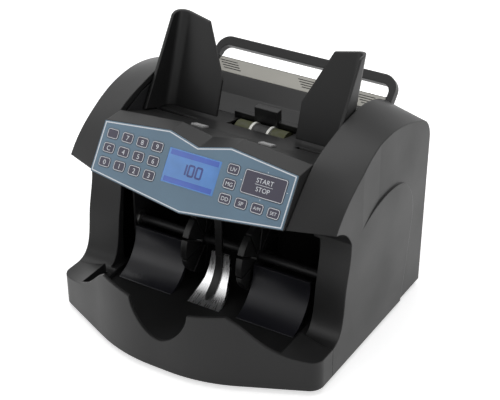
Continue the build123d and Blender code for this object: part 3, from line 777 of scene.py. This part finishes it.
class NOTECOUNTER_OT_stage(bpy.types.Operator):
    """Builds the floor, the lights, the world and the camera"""
    bl_idname = "note_counter.stage"
    bl_label = "Build the stage"

    def execute(self, context):
        self.floor(context)
        self.world(context)
        for lamp in LAMPS:
            self.lamp(context, *lamp)
        self.camera(context)
        context.scene.view_settings.view_transform = "Standard"
        return {"FINISHED"}

    def floor(self, context):
        mesh = slab("floor", rectangle(0, 0, FLOOR_SIZE, FLOOR_SIZE), thickness=FLOOR_DEPTH)
        mesh.transform(Matrix.Translation((0, 0, -FLOOR_DEPTH - FLOOR_DROP)))
        floor = bpy.data.objects.new("floor", mesh)
        context.scene.collection.objects.link(floor)
        material = bpy.data.materials.new("floor")
        material.use_nodes = True
        nodes, links = material.node_tree.nodes, material.node_tree.links
        surface = nodes["Principled BSDF"]
        surface.inputs["Base Color"].default_value = (0.9, 0.9, 0.9, 1)
        surface.inputs["Roughness"].default_value = 0.8
        seen = seen_by_viewer(nodes, links)
        glow = nodes.new("ShaderNodeMath")
        glow.operation = "MULTIPLY"
        glow.inputs[1].default_value = FLOOR_GLOW
        links.new(seen, glow.inputs[0])
        surface.inputs["Emission Color"].default_value = (1, 1, 1, 1)
        links.new(glow.outputs[0], surface.inputs["Emission Strength"])
        mesh.materials.append(material)

    def world(self, context):
        world = bpy.data.worlds.new("studio")
        context.scene.world = world
        world.use_nodes = True
        nodes, links = world.node_tree.nodes, world.node_tree.links
        light = nodes["Background"]
        light.inputs["Color"].default_value = (1, 1, 1, 1)
        light.inputs["Strength"].default_value = WORLD_STRENGTH
        backdrop = nodes.new("ShaderNodeBackground")
        backdrop.inputs["Color"].default_value = (1, 1, 1, 1)
        mix = nodes.new("ShaderNodeMixShader")
        links.new(seen_by_viewer(nodes, links), mix.inputs["Fac"])
        links.new(light.outputs[0], mix.inputs[1])
        links.new(backdrop.outputs[0], mix.inputs[2])
        links.new(mix.outputs[0], nodes["World Output"].inputs["Surface"])

    def lamp(self, context, name, place, size, energy):
        light = bpy.data.lights.new(name, "AREA")
        light.energy = energy
        light.shape = "SQUARE"
        light.size = size
        lamp = bpy.data.objects.new(name, light)
        context.scene.collection.objects.link(lamp)
        lamp.location = place
        lamp.rotation_euler = (LAMP_TARGET - Vector(place)).to_track_quat("-Z", "Y").to_euler()

    def camera(self, context):
        s = settings()
        azimuth, elevation, roll = s.camera_azimuth, s.camera_elevation, s.camera_roll
        flat = math.cos(elevation)
        back = Vector((math.sin(azimuth) * flat, -math.cos(azimuth) * flat, math.sin(elevation)))
        level = Vector((math.cos(azimuth), math.sin(azimuth), 0))
        upright = back.cross(level)
        right = math.cos(roll) * level + math.sin(roll) * upright
        up = math.cos(roll) * upright - math.sin(roll) * level
        camera = bpy.data.objects.new("camera", bpy.data.cameras.new("camera"))
        context.scene.collection.objects.link(camera)
        camera.data.lens = s.camera_lens
        camera.data.sensor_width = 36.0
        place = Matrix((right, up, back)).transposed().to_4x4()
        aim = CAMERA_AIM + right * CAMERA_SHIFT_RIGHT - up * CAMERA_SHIFT_DOWN
        place.translation = aim + back * s.camera_distance
        camera.matrix_world = place
        context.scene.camera = camera


def seen_by_viewer(nodes, links):
    """1 for rays from the camera, a mirror or through glass."""
    path = nodes.new("ShaderNodeLightPath")
    first = nodes.new("ShaderNodeMath")
    first.operation = "MAXIMUM"
    second = nodes.new("ShaderNodeMath")
    second.operation = "MAXIMUM"
    links.new(path.outputs["Is Camera Ray"], first.inputs[0])
    links.new(path.outputs["Is Glossy Ray"], first.inputs[1])
    links.new(first.outputs[0], second.inputs[0])
    links.new(path.outputs["Is Transmission Ray"], second.inputs[1])
    return second.outputs[0]


OPERATORS = [
    NOTECOUNTER_OT_finishes,
    NOTECOUNTER_OT_keys,
    NOTECOUNTER_OT_panel,
    NOTECOUNTER_OT_display,
    NOTECOUNTER_OT_strip,
    NOTECOUNTER_OT_screws,
    NOTECOUNTER_OT_stage,
]


class NOTECOUNTER_PT_sidebar(bpy.types.Panel):
    """Lists the machine's steps in the sidebar"""
    bl_idname = "NOTECOUNTER_PT_sidebar"
    bl_label = "Note Counter"
    bl_space_type = "VIEW_3D"
    bl_region_type = "UI"
    bl_category = "Note Counter"

    def draw(self, context):
        for operator in OPERATORS:
            self.layout.operator(operator.bl_idname)


def register():
    for entry in (NoteCounterSettings, *OPERATORS, NOTECOUNTER_PT_sidebar):
        bpy.utils.register_class(entry)
    bpy.types.Scene.note_counter = bpy.props.PointerProperty(type=NoteCounterSettings)


def unregister():
    del bpy.types.Scene.note_counter
    for entry in reversed((NoteCounterSettings, *OPERATORS, NOTECOUNTER_PT_sidebar)):
        bpy.utils.unregister_class(entry)


def main():
    register()
    for operator in OPERATORS:
        group, name = operator.bl_idname.split(".")
        getattr(getattr(bpy.ops, group), name)()


if __name__ == "__main__":
    main()
